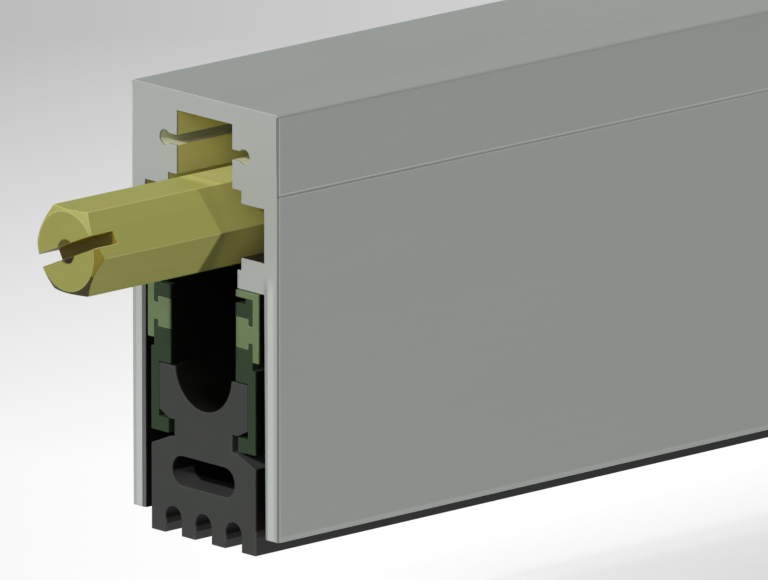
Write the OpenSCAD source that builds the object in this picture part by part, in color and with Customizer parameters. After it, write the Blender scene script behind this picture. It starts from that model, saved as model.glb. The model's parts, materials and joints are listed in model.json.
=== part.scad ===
// Automatic door bottom seal for a milled groove in the lower edge of a door leaf.
// The brass plunger is pushed in by the frame as the door closes. It drives a slider,
// whose two cam plates lower the seal carrier, and a spring draws everything back.
// X runs across the door, Y along its lower edge and Z up, with the seal's ribs on Z = 0.

/* [Housing] */
// Width across the two outer sides
housing_w = 14.8; // [14.4:0.1:15.6]
// Height of the housing
housing_h = 30; // [29.6:0.1:30.4]
// Length of the housing
housing_len = 335; // [320:5:430]
// Thickness of the two side walls
side_t = 1.4; // [1.2:0.05:1.5]
// Thickness of the roof over the top channel
roof_t = 1.4; // [1.1:0.05:1.5]
// Width of the top channel
channel_w = 5.6; // [5.5:0.05:6]
// Depth from the top face to the ceiling of the lower chamber
lower_depth = 12.8; // [12.7:0.05:13]
// Depth from the top face to the axis of the plunger
axis_depth = 8.68; // [8.6:0.02:8.72]
// Height of the wide slideway beside the plunger
slideway_h = 3.76; // [3.6:0.04:3.9]
// Height of the relief round the plunger's side corners
relief_h = 5.56; // [5.4:0.04:5.8]
// Width of the throat between the slideway and the lower chamber
throat_w = 6.6; // [6.5:0.05:6.8]
// Depth from the top face to the screw keys beside the top channel
key_depth = 3.5; // [3.3:0.05:3.7]
// Diameter of the round root of a screw key
key_d = 1.1; // [0.9:0.05:1.3]
// Height of the neck that opens a screw key into the channel
key_neck_h = 0.7; // [0.5:0.05:0.8]
// Reach of a screw key past the channel's side
key_reach = 1.75; // [1.5:0.05:1.9]
// Depth from the top face to the scribed line on the sides
line_depth = 5.7; // [5.2:0.1:6.2]
// Depth of the scribed line
line_cut = 0.1; // [0.08:0.02:0.3]
// Rounding of the two top edges
edge_r = 0.25; // [0.15:0.05:0.4]

/* [Plunger] */
// Hexagon across its flats
plunger_af = 5.9; // [5.7:0.05:6]
// Length of the hexagon bar
plunger_len = 24; // [22:0.5:30]
// Length that stands out of the housing with the door open
plunger_out = 12.7; // [12:0.1:14]
// Diameter of the chamfered end
tip_d = 5.6; // [5.2:0.1:5.9]
// Length of the end chamfer along the bar
tip_chamfer = 0.45; // [0.3:0.05:0.7]
// Width of the screwdriver slot
slot_w = 0.9; // [0.7:0.05:1.1]
// Depth of the screwdriver slot
slot_depth = 2; // [1.4:0.1:2.4]
// Turn of the slot from level
slot_turn = 23; // [0:1:180]
// Diameter of the adjusting stud
stud_d = 4; // [3.4:0.1:4]
// Thread engaged in the plunger
stud_grip = 8; // [6:0.5:9]
// Gap left between plunger and coupling block for adjusting
adjust_gap = 1.2; // [1:0.1:2]

/* [Drive] */
// Travel of the plunger
travel = 8; // [6:0.5:8.5]
// Drop of the seal
drop = 10; // [8:0.5:10]
// Thickness of a cam plate
cam_t = 2; // [1.6:0.1:2.2]
// Depth from the top face to the roller in its upper place
roller_depth = 4.9; // [4.8:0.05:5]
// Diameter of a cam roller
roller_d = 3.2; // [3:0.1:3.3]
// Diameter of a cross pin
pin_d = 2; // [1.6:0.1:2]
// Rim of the cam plate round its slot
cam_rim = 1.35; // [1.2:0.05:1.4]
// Thickness of one drive bar
bar_t = 0.8; // [0.6:0.05:0.9]
// Height of a drive bar
bar_h = 2.4; // [2:0.1:2.6]
// Length of a riveted lap between bar and cam plate
lap_len = 10; // [8:0.5:12]
// Distance from each end of the housing to its hanger
station_in = 70; // [66:1:95]
// Length of the coupling block
block_len = 12; // [12:0.5:16]
// Length of a guide shoe
shoe_len = 10; // [8:0.5:12]
// Thickness of the spring collar
collar_t = 3; // [2.4:0.1:4]
// Wire of the return spring
wire_d = 0.7; // [0.5:0.05:0.7]
// Length of the return spring with the door open
spring_len = 36; // [30:1:45]
// Coils of the return spring
spring_turns = 14; // [10:1:18]
// Length of the spring anchor
anchor_len = 10; // [8:0.5:12]
// Length of a guide block
guide_len = 12; // [11:0.5:14]
// Diameter of a side screw's shank
screw_d = 2.4; // [2:0.1:2.6]
// Diameter of a side screw's head
screw_head_d = 4; // [3.6:0.1:4.4]
// Distance from a side screw's tip to the hanger's notch
screw_tip_in = 0.75; // [0.5:0.05:1]
// Diameter of the rivets
rivet_d = 1.6; // [1.2:0.1:1.6]

/* [Carrier] */
// Height of a rail
rail_h = 10.85; // [10.6:0.05:11.1]
// Height of a rail's upper block
rail_block_h = 5.95; // [5.9:0.05:6.2]
// Thickness of a rail's lower wall
rail_wall_t = 0.75; // [0.6:0.05:0.85]
// Step from the upper block out to the lower wall
rail_step = 0.3; // [0.2:0.05:0.35]
// Thickness of a rail's hook
hook_t = 1; // [0.8:0.05:1.2]
// Reach of a rail's hook
hook_reach = 1.75; // [1.5:0.05:1.9]
// Width of the rebate along the inner top edge of a rail
rebate_w = 1; // [0.8:0.05:1.1]
// Depth of that rebate
rebate_h = 0.4; // [0.3:0.05:0.5]
// Thickness of a glide strip's flange
glide_t = 0.6; // [0.5:0.05:0.7]
// Height of a glide strip's flange
glide_h = 4.85; // [4.6:0.05:4.9]
// Thickness of a glide strip's top leg
glide_top_t = 0.5; // [0.4:0.05:0.6]
// Length of a snap barb and of its window in the rail
barb_len = 12; // [9:0.5:14]
// Depth from a rail's top to the middle of its windows
barb_depth = 2.45; // [2.3:0.05:2.6]
// Height of a snap barb's head
barb_h = 2.15; // [2:0.05:2.2]
// Height of a snap barb's neck
barb_neck_h = 1.2; // [1:0.05:1.3]
// Barbs on each glide strip
barb_count = 7; // [5:2:7]
// Thickness of the hanger's sheet
cheek_t = 1; // [0.8:0.05:1.1]
// Length of a hanger along the rails
hanger_len = 6; // [5:0.1:7]

/* [Seal] */
// Height of the seal below the rails
seal_body_h = 6.9; // [6.7:0.05:7.2]
// Gap beside the seal's neck, in from the hooks
neck_in = 0.6; // [0.4:0.05:0.8]
// Thickness of the seal's lips beside its cradle
seal_lip_t = 1.6; // [1.5:0.05:1.9]
// Rubber left under the cradle, down to the rails' lower edge
cradle_floor = 2.1; // [2:0.05:2.3]
// Rubber beside the hollow in the seal
hollow_wall = 2.1; // [1.8:0.05:2.4]
// Height of the hollow in the seal
hollow_h = 2.1; // [1.7:0.05:2.2]
// Height of the hollow above the foot of the ribs
hollow_z = 3.6; // [3.4:0.05:3.7]
// Width of a rib
rib_w = 1.4; // [1.2:0.05:1.6]
// Height of the grooves between the ribs
groove_h = 2; // [1.7:0.05:2.1]
// Ribs under the seal
rib_count = 4; // [3:1:5]
// Width of the slope on each shoulder of the seal
shoulder_w = 1.9; // [1:0.1:2]
// Fall of the slope on each shoulder
shoulder_fall = 0.8; // [0.5:0.05:0.9]
// Width of the slope on the lower corners of the seal's head
head_slope_w = 1; // [0.5:0.1:1.3]
// Rise of the slope on the lower corners of the seal's head
head_slope_h = 0.5; // [0.2:0.05:0.7]

/* [Clearances] */
// Gap between flat pieces that seat on each other
snug = 0.03; // [0.02:0.01:0.04]
// Radial gap round a rivet, stud or pin
pin_gap = 0.03; // [0.02:0.01:0.06]
// Gap beside a piece that slides in the housing
slide_gap = 0.15; // [0.1:0.01:0.18]
// Gap between a glide strip and the housing's side
glide_gap = 0.4; // [0.3:0.02:0.5]
// Gap between the glide strips and the ceiling with the seal up
top_gap = 0.05; // [0.03:0.01:0.1]
// Gap between a hanger's cheek and the channel
cheek_gap = 0.3; // [0.25:0.01:0.35]
// Gap between a cam plate and the guide blocks
cam_gap = 0.4; // [0.3:0.02:0.45]
// Gap between the seal's head and its rails
seal_gap = 0.05; // [0.03:0.01:0.08]
// Gap between the hooks and the seal's shoulders
shoulder_gap = 0.2; // [0.1:0.01:0.25]
// Gap from the plunger's side corners to the relief
plunger_gap = 0.3; // [0.2:0.02:0.4]
// Gap below the glide strips' flanges, down to the rails' step
notch_gap = 0.6; // [0.5:0.05:0.7]
// Gap left at the end of a stroke
stroke_gap = 0.5; // [0.4:0.05:0.6]
// Length by which the seal and its rails stand out of the housing's front end
carrier_out = 0.15; // [0:0.05:0.5]

/* [Hidden] */
$fn = 48;
// Overrun of a cut past the face it opens
cut = 1;

// Heights, stacked up from the foot of the ribs
hook_z = seal_body_h + shoulder_gap;
rail_top_z = hook_z + rail_h;
block_z = rail_top_z - rail_block_h;
glide_top_z = rail_top_z + glide_top_t;
ceiling_z = glide_top_z + top_gap;
top_z = ceiling_z + lower_depth;
foot_z = top_z - housing_h;
axis_z = top_z - axis_depth;
flange_z = glide_top_z - glide_h;
step_z = flange_z - notch_gap;
barb_z = rail_top_z - barb_depth;
roller_z = top_z - roller_depth;

// Half widths, counted out from the middle plane
side_x = housing_w / 2;
chamber_x = side_x - side_t;
plunger_x = plunger_af / sqrt(3);
relief_x = plunger_x + plunger_gap;
channel_x = channel_w / 2;
glide_x = chamber_x - glide_gap;
rail_x = glide_x - glide_t - snug;
rail_inner_x = throat_w / 2;
rail_block_t = rail_x - rail_inner_x;
wall_x = rail_x + rail_step;
wall_inner_x = wall_x - rail_wall_t;
cam_x = cam_t / 2;
bar_x = cam_x + bar_t;
cheek_x = channel_x - cheek_gap;
cheek_inner_x = cheek_x - cheek_t;
guide_inner_x = cam_x + cam_gap;
leg_x = rail_inner_x - slide_gap;
flange_x = rail_inner_x - snug;

// Places along the length, with the whole part centred on Y = 0
front_y = (plunger_out - housing_len) / 2;
back_y = front_y + housing_len;
tip_y = front_y - plunger_out;
plunger_end_y = tip_y + plunger_len;
block_y = plunger_end_y + adjust_gap;
block_end_y = block_y + block_len;
bar_seat = block_len / 2;
carrier_y = front_y - carrier_out;
carrier_len = housing_len + carrier_out;
STATIONS = [front_y + station_in, back_y - station_in];
lap_front = guide_len / 2 + travel + stroke_gap;
lap_rear = guide_len / 2 + stroke_gap;
spring_room = collar_t + spring_len + anchor_len;
collar_y = (STATIONS[0] + STATIONS[1] - spring_room) / 2;
spring_y = collar_y + collar_t;
anchor_y = spring_y + spring_len;
anchor_end_y = anchor_y + anchor_len;
lap_y = [for (y = STATIONS) y - lap_front - lap_len];
shoe_y = [(block_end_y + lap_y[0] - shoe_len) / 2, (anchor_end_y + lap_y[1] - shoe_len) / 2];

// Details of the small pieces
slot_r = roller_d / 2 + pin_gap;
cam_r = slot_r + cam_rim;
slide_h = slideway_h - slide_gap * 2;
wing_x = chamber_x - slide_gap * 2;
coil_r = sqrt(pow(bar_x, 2) + pow(bar_h / 2, 2)) + slide_gap * 2 + wire_d / 2;
head_h = (screw_head_d - screw_d) / 2;
screw_len = side_x - cheek_x - slide_gap - screw_tip_in;
rivet_head_share = 0.4;
rivet_head_t = cheek_t * rivet_head_share;
barb_lip_share = 0.235;
barb_lip_t = rail_block_t * barb_lip_share;
carrier_end_y = carrier_y + carrier_len;
barb_pitch = (STATIONS[1] - STATIONS[0]) / (barb_count - 3);
rib_pitch = (wall_x * 2 - rib_w) / (rib_count - 1);
groove_w = rib_pitch - rib_w;

// A flat outline in X and Z, run along Y
module run(y, length) {
  translate([0, y + length, 0])
    rotate([90, 0, 0])
      linear_extrude(height = length)
        children();
}

// A flat outline in Y and Z, given a thickness along X
module plate(x, thickness) {
  translate([x, 0, 0])
    rotate([90, 0, 90])
      linear_extrude(height = thickness)
        children();
}

// A rod along X from one place to another
module rod_x(from_x, to_x, y, z, r) {
  translate([from_x, y, z])
    rotate([0, 90, 0])
      cylinder(h = to_x - from_x, r = r);
}

// A rectangle between two corners
module span(x0, x1, z0, z1) {
  translate([x0, z0])
    square([x1 - x0, z1 - z0]);
}

// A rectangle with all four corners rounded
module soft_span(x0, x1, z0, z1, r) {
  span(x0 + r, x1 - r, z0, z1);
  span(x0, x1, z0 + r, z1 - r);
  for (x = [x0 + r, x1 - r], z = [z0 + r, z1 - r])
    translate([x, z])
      circle(r = r);
}

// A block centred on the drive's axis
module slide_block(y, length, half_w, height) {
  translate([-half_w, y, axis_z - height / 2])
    cube([half_w * 2, length, height]);
}

// The same shape on both sides of the middle plane
module both_sides() {
  children();
  mirror([1, 0, 0])
    children();
}

// Housing

module housing_outline() {
  key_z = top_z - key_depth;
  line_z = top_z - line_depth;
  key_x = channel_x + key_reach - key_d / 2;
  difference() {
    union() {
      span(-side_x, side_x, foot_z, top_z - edge_r);
      soft_span(-side_x, side_x, ceiling_z, top_z, edge_r);
    }
    span(-channel_x, channel_x, axis_z, top_z - roof_t);
    span(-relief_x, relief_x, axis_z - relief_h / 2, axis_z + relief_h / 2);
    span(-chamber_x, chamber_x, axis_z - slideway_h / 2, axis_z + slideway_h / 2);
    span(-throat_w / 2, throat_w / 2, ceiling_z - cut, axis_z);
    span(-chamber_x, chamber_x, foot_z - cut, ceiling_z);
    both_sides() {
      span(0, key_x, key_z - key_neck_h / 2, key_z + key_neck_h / 2);
      translate([key_x, key_z])
        circle(d = key_d);
      polygon([
        [side_x - line_cut, line_z],
        [side_x + line_cut, line_z - line_cut * 2],
        [side_x + line_cut, line_z + line_cut * 2]
      ]);
    }
  }
}

// Countersunk hole or screw, its head flush with the right side, or run past it as a cut
module side_screw_shape(y, gap, past) {
  head_r = screw_head_d / 2 + gap;
  shank_r = screw_d / 2 + gap;
  rod_x(side_x - screw_len, side_x, y, axis_z, shank_r);
  translate([side_x - head_h, y, axis_z])
    rotate([0, 90, 0])
      cylinder(h = head_h + past, r1 = shank_r, r2 = head_r + past);
}

SCREW_PLACES = [STATIONS[0], STATIONS[1], anchor_y + anchor_len / 2];

module housing() {
  color("silver")
    difference() {
      run(front_y, housing_len)
        housing_outline();
      for (y = SCREW_PLACES)
        both_sides()
          side_screw_shape(y, pin_gap, cut);
    }
}

module side_screws() {
  socket_r = screw_d / 3;
  color("dimgray")
    for (y = SCREW_PLACES)
      both_sides()
        difference() {
          side_screw_shape(y, 0, 0);
          translate([side_x - head_h / 2, y, axis_z])
            rotate([0, 90, 0])
              cylinder(h = head_h, r = socket_r, $fn = 6);
        }
}

// Plunger and its adjustment

module hex_plunger() {
  bore_len = stud_grip + slot_w;
  color([0.57, 0.56, 0.32])
    translate([0, tip_y, axis_z])
      rotate([-90, 0, 0])
        difference() {
          intersection() {
            cylinder(h = plunger_len, r = plunger_x, $fn = 6);
            union() {
              cylinder(h = tip_chamfer, d1 = tip_d, r2 = plunger_x);
              translate([0, 0, tip_chamfer])
                cylinder(h = plunger_len - tip_chamfer, r = plunger_x + plunger_gap);
            }
          }
          rotate([0, 0, -slot_turn])
            translate([-plunger_af, -slot_w / 2, -slot_depth])
              cube([plunger_af * 2, slot_w, slot_depth * 2]);
          translate([0, 0, plunger_len - bore_len])
            cylinder(h = bore_len + cut, d = stud_d + pin_gap * 2);
        }
}

module adjusting_stud() {
  point = stud_d / 8;
  length = stud_grip + adjust_gap + bar_seat - snug;
  color("gray")
    translate([0, plunger_end_y - stud_grip, axis_z])
      rotate([-90, 0, 0]) {
        cylinder(h = point, d1 = stud_d - point * 2, d2 = stud_d);
        translate([0, 0, point])
          cylinder(h = length - point, d = stud_d);
      }
}

module coupling_block() {
  hub_h = relief_h - slide_gap * 2;
  color("darkgray")
    difference() {
      union() {
        slide_block(block_y, block_len, wing_x, slide_h);
        slide_block(block_y, block_len, relief_x - slide_gap, hub_h);
      }
      translate([0, block_y - cut, axis_z])
        rotate([-90, 0, 0])
          cylinder(h = bar_seat + cut, d = stud_d + pin_gap * 2);
      both_sides()
        translate([cam_x - snug, block_end_y - bar_seat - snug, axis_z - hub_h])
          cube([bar_t + snug * 2, bar_seat + cut, hub_h * 2]);
      rod_x(-side_x, side_x, block_end_y - bar_seat / 2, axis_z, rivet_d / 2 + pin_gap);
    }
}

module coupling_pin() {
  half_w = wing_x - snug;
  color("gray")
    rod_x(-half_w, half_w, block_end_y - bar_seat / 2, axis_z, rivet_d / 2);
}

// Drive bars and cam plates

// Places of the two rivets in a lap that starts at y
function lap_rivets(y) = [y + lap_len / 4, y + lap_len * 3 / 4];

module rivet_holes(places, half_w) {
  for (y = places)
    rod_x(-half_w, half_w, y, axis_z, rivet_d / 2 + pin_gap);
}

module drive_bar(from_y, to_y, places) {
  color("lightsteelblue")
    difference() {
      translate([cam_x, from_y, axis_z - bar_h / 2])
        cube([bar_t, to_y - from_y, bar_h]);
      rivet_holes(places, side_x);
    }
}

module drive_bar_front_right() {
  places = concat([block_end_y - bar_seat / 2], lap_rivets(lap_y[0]));
  drive_bar(block_end_y - bar_seat, lap_y[0] + lap_len, places);
}

module drive_bar_front_left() {
  mirror([1, 0, 0])
    drive_bar_front_right();
}

module drive_bar_middle_right() {
  first_y = STATIONS[0] + lap_rear;
  places = concat(lap_rivets(first_y), lap_rivets(lap_y[1]), [collar_y + collar_t / 2]);
  drive_bar(first_y, lap_y[1] + lap_len, places);
}

module drive_bar_middle_left() {
  mirror([1, 0, 0])
    drive_bar_middle_right();
}

// One plate with its slanted slot, and a tail at each end for the drive bars
module cam_plate(y) {
  low_y = y - travel;
  low_z = roller_z - drop;
  slant = sqrt(pow(travel, 2) + pow(drop, 2));
  color("lightgray")
    difference() {
      plate(-cam_x, cam_t)
        difference() {
          union() {
            soft_span(low_y - cam_r, y + cam_r, low_z - cam_r, roller_z + cam_r, cam_rim);
            span(y - lap_front - lap_len, y + lap_rear + lap_len,
                 axis_z - bar_h / 2, axis_z + bar_h / 2);
          }
          translate([low_y, low_z])
            rotate([0, 0, atan2(drop, travel)])
              union() {
                span(0, slant, -slot_r, slot_r);
                circle(r = slot_r);
                translate([slant, 0])
                  circle(r = slot_r);
              }
        }
      rivet_holes(lap_rivets(y - lap_front - lap_len), side_x);
      rivet_holes(lap_rivets(y + lap_rear), side_x);
    }
}

module cam_plate_front() cam_plate(STATIONS[0]);

module cam_plate_rear() cam_plate(STATIONS[1]);

module lap_rivet(y, half_w) {
  rod_x(-half_w, half_w, y, axis_z, rivet_d / 2);
  both_sides()
    rod_x(half_w, half_w + rivet_head_t, y, axis_z, rivet_d * 2 / 3);
}

module cam_rivets_front() {
  color("gray")
    for (y = concat(lap_rivets(lap_y[0]), lap_rivets(STATIONS[0] + lap_rear)))
      lap_rivet(y, bar_x);
}

module cam_rivets_rear() {
  color("gray")
    for (y = lap_rivets(lap_y[1]))
      lap_rivet(y, bar_x);
}

// Guide shoes on the slider

module guide_shoe(y) {
  window_h = bar_h + snug * 2;
  color("ivory")
    difference() {
      slide_block(y, shoe_len, chamber_x - slide_gap, slide_h);
      both_sides()
        translate([cam_x - snug, y - cut, axis_z - window_h / 2])
          cube([bar_t + snug * 2, shoe_len + cut * 2, window_h]);
    }
}

module guide_shoe_front() guide_shoe(shoe_y[0]);

module guide_shoe_rear() guide_shoe(shoe_y[1]);

// The last shoe rides on the rear cam plate's tail and is pinned to it
module guide_shoe_end() {
  y = STATIONS[1] + lap_rear + snug;
  window_h = bar_h + snug * 2;
  window_x = cam_x + snug;
  color("ivory")
    difference() {
      slide_block(y, lap_len - snug * 2, chamber_x - slide_gap, slide_h);
      translate([-window_x, y - cut, axis_z - window_h / 2])
        cube([window_x * 2, lap_len + cut * 2, window_h]);
    }
}

// Return spring with its collar and anchor

module spring_collar() {
  window_h = bar_h + snug * 2;
  color("gray")
    difference() {
      translate([0, collar_y, axis_z])
        rotate([-90, 0, 0])
          cylinder(h = collar_t - snug, r = coil_r + wire_d / 2);
      both_sides()
        translate([cam_x - snug, collar_y - cut, axis_z - window_h / 2])
          cube([bar_t + snug * 2, collar_t + cut * 2, window_h]);
      rivet_holes([collar_y + collar_t / 2], side_x);
    }
}

// Rings of wire carried round a helix, with the end coils closed up
COIL_STEPS = 16;
WIRE_SIDES = 6;
CLOSED_COILS = 1;
function coil_share(t) =
  let (open_coils = spring_turns - CLOSED_COILS * 2)
  t < CLOSED_COILS ? 0
  : t > spring_turns - CLOSED_COILS ? 1
  : (t - CLOSED_COILS) / open_coils;
function coil_y(t) =
  let (closed = CLOSED_COILS * (wire_d + snug),
       open_len = spring_len - closed * 2 - wire_d - snug * 2)
  wire_d / 2 + snug + min(t, CLOSED_COILS) * (wire_d + snug) + coil_share(t) * open_len
  + max(t - spring_turns + CLOSED_COILS, 0) * (wire_d + snug);
function coil_ring(t) = [
  for (k = [0 : WIRE_SIDES - 1])
    let (a = 360 * k / WIRE_SIDES, r = coil_r + wire_d / 2 * cos(a))
    [r * cos(360 * t), spring_y + coil_y(t) + wire_d / 2 * sin(a), axis_z + r * sin(360 * t)]
];

module return_spring() {
  rings = spring_turns * COIL_STEPS;
  points = [for (i = [0 : rings]) each coil_ring(i / COIL_STEPS)];
  sides = [
    for (i = [0 : rings - 1], k = [0 : WIRE_SIDES - 1])
      let (a = i * WIRE_SIDES + k, b = i * WIRE_SIDES + (k + 1) % WIRE_SIDES)
      [a, b, b + WIRE_SIDES, a + WIRE_SIDES]
  ];
  start = [for (k = [0 : WIRE_SIDES - 1]) WIRE_SIDES - 1 - k];
  end = [for (k = [0 : WIRE_SIDES - 1]) rings * WIRE_SIDES + k];
  color("slategray")
    polyhedron(points = points, faces = concat([start, end], sides), convexity = 4);
}

module spring_anchor() {
  window_x = bar_x + slide_gap;
  window_h = bar_h + slide_gap * 2;
  color("darkgray")
    difference() {
      slide_block(anchor_y, anchor_len, chamber_x - snug * 2, slideway_h - snug * 2);
      translate([-window_x, anchor_y - cut, axis_z - window_h / 2])
        cube([window_x * 2, anchor_len + cut * 2, window_h]);
      both_sides()
        side_screw_shape(anchor_y + anchor_len / 2, pin_gap, cut);
    }
}

// Guide blocks that keep the hangers upright at their station

module guide_block_right(y) {
  notch_len = hanger_len + slide_gap * 2;
  slot_x = cheek_x + slide_gap;
  high_z = axis_z + slideway_h / 2 - snug;
  low_z = axis_z - slideway_h / 2 + snug;
  leg_z = roller_z - drop + roller_d / 5;
  outer_x = chamber_x - snug * 2;
  color("gainsboro")
    difference() {
      union() {
        translate([guide_inner_x, y - guide_len / 2, low_z])
          cube([outer_x - guide_inner_x, guide_len, high_z - low_z]);
        translate([guide_inner_x, y - guide_len / 2, leg_z])
          cube([leg_x - guide_inner_x, guide_len, low_z - leg_z]);
      }
      translate([0, y - notch_len / 2, low_z - cut])
        cube([slot_x, notch_len, high_z - low_z + cut * 2]);
      translate([0, y - notch_len / 2, leg_z - cut])
        cube([chamber_x, notch_len, low_z - leg_z + cut]);
      side_screw_shape(y, pin_gap, cut);
    }
}

module guide_block_left(y) {
  mirror([1, 0, 0])
    guide_block_right(y);
}

module guide_block_front_left() guide_block_left(STATIONS[0]);

module guide_block_front_right() guide_block_right(STATIONS[0]);

module guide_block_rear_left() guide_block_left(STATIONS[1]);

module guide_block_rear_right() guide_block_right(STATIONS[1]);

// Hangers, folded from sheet, with their cross pins and rollers

module hanger_outline() {
  foot = block_z + seal_gap * 2;
  neck_z = ceiling_z - slide_gap * 2;
  bend_z = neck_z - (flange_x - cheek_x) - slide_gap;
  crown_z = roller_z + cam_r;
  right = [
    [flange_x, foot],
    [flange_x, bend_z],
    [cheek_x, neck_z],
    [cheek_x, crown_z],
    [cheek_inner_x, crown_z],
    [cheek_inner_x, neck_z - cheek_t / 3],
    [flange_x - cheek_t, bend_z - cheek_t / 3],
    [flange_x - cheek_t, foot + cheek_t]
  ];
  left = [for (i = [len(right) - 1 : -1 : 0]) [-right[i][0], right[i][1]]];
  polygon(concat(right, left));
}

function hanger_rivet_places(y) = [y - hanger_len * 3 / 10, y + hanger_len * 3 / 10];

module hanger(y) {
  eye_r = cam_r * 2 / 3;
  color("lightgray")
    difference() {
      intersection() {
        run(y - hanger_len / 2, hanger_len)
          hanger_outline();
        plate(-side_x, housing_w)
          union() {
            span(y - hanger_len / 2, y + hanger_len / 2, foot_z, roller_z - eye_r);
            span(y - eye_r, y + eye_r, foot_z, roller_z);
            translate([y, roller_z])
              circle(r = eye_r);
          }
      }
      rod_x(-side_x, side_x, y, roller_z, pin_d / 2 + pin_gap);
      for (p = hanger_rivet_places(y))
        rod_x(-side_x, side_x, p, barb_z, rivet_d / 2 + pin_gap);
    }
}

module hanger_front() hanger(STATIONS[0]);

module hanger_rear() hanger(STATIONS[1]);

module cross_pin(y) {
  color("gray")
    rod_x(-cheek_x, cheek_x, y, roller_z, pin_d / 2);
}

module cross_pin_front() cross_pin(STATIONS[0]);

module cross_pin_rear() cross_pin(STATIONS[1]);

module cam_roller(y) {
  half_w = cheek_inner_x - pin_gap * 2;
  color("white")
    difference() {
      rod_x(-half_w, half_w, y, roller_z, roller_d / 2);
      rod_x(-side_x, side_x, y, roller_z, pin_d / 2 + pin_gap);
    }
}

module cam_roller_front() cam_roller(STATIONS[0]);

module cam_roller_rear() cam_roller(STATIONS[1]);

module hanger_rivets() {
  inner_x = flange_x - cheek_t;
  color("gray")
    for (y = STATIONS)
      for (p = hanger_rivet_places(y))
        both_sides() {
          rod_x(inner_x, rail_x, p, barb_z, rivet_d / 2);
          rod_x(inner_x - rivet_head_t, inner_x, p, barb_z, rivet_d * 2 / 3);
        }
}

// Carrier rails with their windows, and the glide strips that snap into them

// Barbs stand clear of the hanger rivets: at both ends, halfway from there to the hangers, and
// evenly between the hangers
BARB_PLACES = concat(
  [carrier_y, (carrier_y + STATIONS[0] - barb_len) / 2],
  [for (i = [1 : barb_count - 4]) STATIONS[0] + barb_pitch * i - barb_len / 2],
  [(STATIONS[1] + carrier_end_y - barb_len) / 2, carrier_end_y - barb_len]
);

module rail_outline() {
  span(rail_inner_x, rail_x, block_z, rail_top_z - rebate_h);
  span(rail_inner_x + rebate_w, rail_x, block_z, rail_top_z);
  span(wall_inner_x, wall_x, hook_z, step_z);
  span(wall_x - hook_reach, wall_x, hook_z, hook_z + hook_t);
}

// Section of a barb, or of its window when it is given a gap
module barb_outline(gap) {
  head_x = rail_x - barb_lip_t;
  span(rail_inner_x + snug - gap, head_x + gap,
       barb_z - barb_h / 2 - gap, barb_z + barb_h / 2 + gap);
  span(head_x - gap, rail_x + snug * 2,
       barb_z - barb_neck_h / 2 - gap, barb_z + barb_neck_h / 2 + gap);
}

module carrier_rail_right() {
  color([0.18, 0.25, 0.17])
    difference() {
      run(carrier_y, carrier_len)
        rail_outline();
      for (y = BARB_PLACES)
        run(y - snug, barb_len + snug * 2)
          barb_outline(snug);
      for (y = STATIONS)
        for (p = hanger_rivet_places(y))
          rod_x(0, rail_x + cut, p, barb_z, rivet_d / 2 + pin_gap);
    }
}

module carrier_rail_left() {
  mirror([1, 0, 0])
    carrier_rail_right();
}

module glide_strip_right() {
  color([0.45, 0.52, 0.38]) {
    run(carrier_y, carrier_len) {
      span(rail_x + snug, glide_x, flange_z, glide_top_z);
      span(rail_inner_x, glide_x, rail_top_z + snug, glide_top_z);
    }
    for (y = BARB_PLACES)
      run(y, barb_len)
        barb_outline(0);
  }
}

module glide_strip_left() {
  mirror([1, 0, 0])
    glide_strip_right();
}

// Seal

module seal_outline() {
  head_x = wall_inner_x - seal_gap;
  head_z = hook_z + hook_t + seal_gap;
  head_top_z = block_z - seal_gap * 2;
  neck_x = wall_x - hook_reach - neck_in;
  cradle_r = head_x - seal_lip_t;
  cradle_z = hook_z + cradle_floor + cradle_r;
  hollow_x = wall_x - hollow_wall - hollow_h / 2;
  difference() {
    union() {
      polygon([
        [-wall_x, 0],
        [wall_x, 0],
        [wall_x, seal_body_h - shoulder_fall],
        [wall_x - shoulder_w, seal_body_h],
        [shoulder_w - wall_x, seal_body_h],
        [-wall_x, seal_body_h - shoulder_fall]
      ]);
      span(-neck_x, neck_x, seal_body_h - shoulder_fall, head_z + head_slope_h);
      polygon([
        [-head_x, head_top_z],
        [-head_x, head_z + head_slope_h],
        [head_slope_w - head_x, head_z],
        [head_x - head_slope_w, head_z],
        [head_x, head_z + head_slope_h],
        [head_x, head_top_z]
      ]);
    }
    translate([0, cradle_z])
      circle(r = cradle_r);
    span(-hollow_x, hollow_x, hollow_z, hollow_z + hollow_h);
    both_sides()
      translate([hollow_x, hollow_z + hollow_h / 2])
        circle(d = hollow_h);
    for (i = [0 : rib_count - 2])
      translate([(i - (rib_count - 2) / 2) * rib_pitch, 0]) {
        span(-groove_w / 2, groove_w / 2, -cut, groove_h - groove_w / 2);
        translate([0, groove_h - groove_w / 2])
          circle(d = groove_w);
      }
  }
}

module seal() {
  color([0.26, 0.27, 0.25])
    run(carrier_y, carrier_len)
      seal_outline();
}

housing();
hex_plunger();
adjusting_stud();
coupling_block();
coupling_pin();
drive_bar_front_left();
drive_bar_front_right();
drive_bar_middle_left();
drive_bar_middle_right();
cam_plate_front();
cam_plate_rear();
cam_rivets_front();
cam_rivets_rear();
guide_shoe_front();
guide_shoe_rear();
guide_shoe_end();
spring_collar();
return_spring();
spring_anchor();
guide_block_front_left();
guide_block_front_right();
guide_block_rear_left();
guide_block_rear_right();
side_screws();
cross_pin_front();
cross_pin_rear();
cam_roller_front();
cam_roller_rear();
hanger_front();
hanger_rear();
hanger_rivets();
carrier_rail_left();
carrier_rail_right();
glide_strip_left();
glide_strip_right();
seal();
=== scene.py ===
import json
import math

import bmesh
import bpy
from mathutils import Matrix, Vector


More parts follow.
